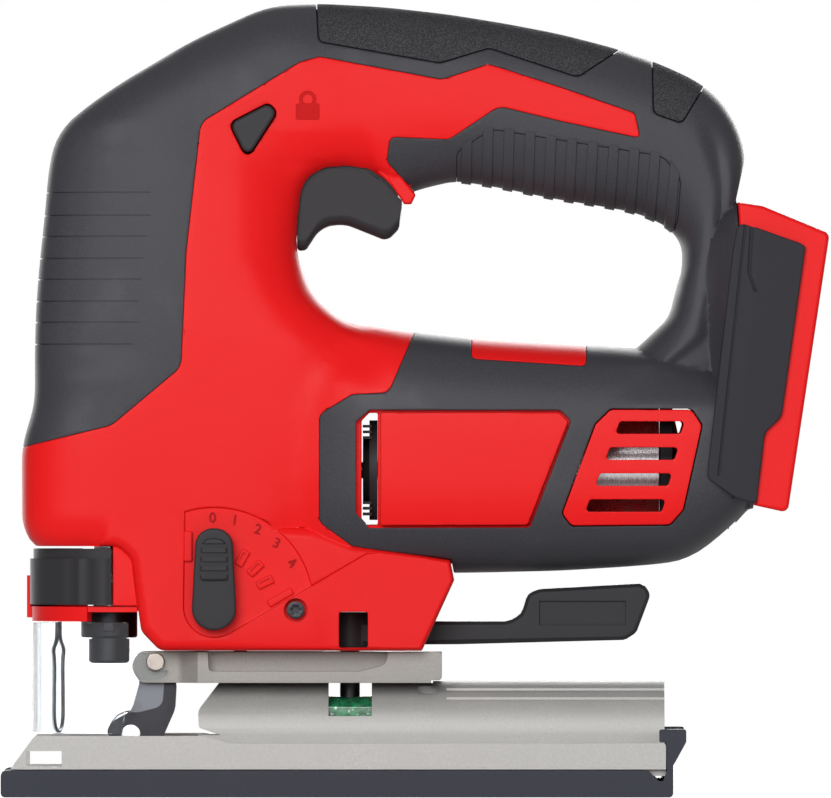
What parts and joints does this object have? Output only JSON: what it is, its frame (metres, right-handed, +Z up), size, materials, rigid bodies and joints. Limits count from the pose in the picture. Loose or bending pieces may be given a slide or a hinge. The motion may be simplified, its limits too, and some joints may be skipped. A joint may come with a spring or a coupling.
{
  "type": "cordless jigsaw",
  "caption": "D-handle cordless jigsaw without battery: two-tone shell, trigger, orbital selector, tool-free blade clamp, roller, clear shield and a tilting shoe.",
  "frame": {"origin": "middle of the sole, on the sole plane", "axes": "-X towards the blade end, +X towards the battery foot, +Y to the operator's right, +Z up, with the tool standing on its sole"},
  "size_m": [0.2484, 0.078, 0.2386],
  "materials": {
    "red_shell": "fine satin moulding",
    "soft_shell": "matt soft overmould",
    "pad_rubber": "pebbled",
    "black_nylon": "satin",
    "dark_steel": "blackened",
    "bright_steel": "ground",
    "cast_aluminium": "sand-blasted casting",
    "slate_cover": "satin",
    "copper": "bare",
    "brass": "bare",
    "circuit_board": "lacquered",
    "clear_plastic": "clear moulding",
    "lamp_lens": "clear",
    "green_lacquer": "lacquered"
  },
  "bodies": {
    "tool": {"left_housing": "red_shell", "right_housing": "red_shell", "left_motor_panel": "red_shell", "right_motor_panel": "red_shell", "left_vent_grille": "red_shell", "right_vent_grille": "red_shell", "battery_foot": "red_shell", "nose_ring": "red_shell", "left_overmould": "soft_shell", "right_overmould": "soft_shell", "left_top_pad": "pad_rubber", "right_top_pad": "pad_rubber", "left_rear_pad": "pad_rubber", "right_rear_pad": "pad_rubber", "left_finger_grip": "pad_rubber", "right_finger_grip": "pad_rubber", "left_battery_cheek": "black_nylon", "right_battery_cheek": "black_nylon", "terminal_block": "black_nylon", "switch_module": "black_nylon", "end_bell": "black_nylon", "housing_screw_1": "dark_steel", "housing_screw_2": "dark_steel", "housing_screw_3": "dark_steel", "housing_screw_4": "dark_steel", "housing_screw_5": "dark_steel", "arm_pin": "dark_steel", "bracket_screw": "dark_steel", "motor_can": "bright_steel", "front_bearing": "bright_steel", "rear_bearing": "bright_steel", "gear_axle": "bright_steel", "wire_guard": "bright_steel", "gear_frame": "cast_aluminium", "shoe_bracket": "cast_aluminium", "plus_terminal": "copper", "minus_terminal": "copper", "upper_bush": "brass", "lower_bush": "brass", "control_board": "circuit_board", "work_light": "lamp_lens", "clamp_nut": "green_lacquer"},
    "rotor": {"armature": "copper", "motor_fan": "black_nylon"},
    "crank": {"crank_gear": "dark_steel"},
    "plunger_unit": {"plunger": "bright_steel", "blade_clamp": "dark_steel", "clamp_collar": "bright_steel"},
    "release": {"release_lever": "black_nylon"},
    "arm": {"roller_arm": "dark_steel", "roller_pin": "bright_steel"},
    "roller": {"blade_roller": "bright_steel"},
    "selector": {"selector_lever": "black_nylon"},
    "lock": {"lock_button": "black_nylon"},
    "trigger_body": {"trigger": "black_nylon"},
    "foot": {"shoe": "cast_aluminium", "shoe_cover": "slate_cover"},
    "bevel_lever": {"clamp_lever": "black_nylon", "clamp_bolt": "dark_steel"},
    "shield": {"chip_shield": "clear_plastic"}
  },
  "joints": [
    {"name": "motor_spin", "type": "hinge", "parent": "tool", "child": "rotor", "pos_m": [0, 0, 0.098], "axis": [1, 0, 0], "continuous": true},
    {"name": "gear_spin", "type": "hinge", "parent": "tool", "child": "crank", "pos_m": [0, 0, 0.122], "axis": [1, 0, 0], "continuous": true},
    {"name": "plunger_slide", "type": "slide", "parent": "tool", "child": "plunger_unit", "axis": [0, 0, 1], "range_m": [-0.0125, 0.0125]},
    {"name": "release_lever_turn", "type": "hinge", "parent": "tool", "child": "release", "pos_m": [-0.0675, 0, 0.066], "axis": [0, 0, 1], "range_deg": [-40, 0], "stiffness_Nm_per_rad": 0.05},
    {"name": "orbit_arm_swing", "type": "hinge", "parent": "tool", "child": "arm", "pos_m": [-0.0534, 0, 0.0404], "axis": [0, 1, 0], "range_deg": [0, 6]},
    {"name": "roller_spin", "type": "hinge", "parent": "arm", "child": "roller", "pos_m": [-0.0608, 0, 0.0186], "axis": [0, 1, 0], "continuous": true},
    {"name": "selector_turn", "type": "hinge", "parent": "tool", "child": "selector", "pos_m": [-0.0357, 0, 0.057], "axis": [0, 1, 0], "range_deg": [0, 63]},
    {"name": "lock_button_slide", "type": "slide", "parent": "tool", "child": "lock", "axis": [0, 1, 0], "range_m": [0, 0.003]},
    {"name": "trigger_pull", "type": "slide", "parent": "tool", "child": "trigger_body", "axis": [0.0995, 0, 0.995], "range_m": [0, 0.0065], "stiffness_N_per_m": 400},
    {"name": "shoe_bevel", "type": "hinge", "parent": "tool", "child": "foot", "pos_m": [0, 0, 0.0186], "axis": [1, 0, 0], "range_deg": [-45, 45]},
    {"name": "clamp_lever_swing", "type": "hinge", "parent": "tool", "child": "bevel_lever", "pos_m": [0.005, 0, 0.05], "axis": [0, 0, 1], "range_deg": [0, 90]},
    {"name": "shield_pull_off", "type": "slide", "parent": "tool", "child": "shield", "axis": [-1, 0, 0], "range_m": [0, 0.06]}
  ],
  "couplings": [
    {"joint": "gear_spin", "follows": "motor_spin", "ratio": -0.2}
  ]
}
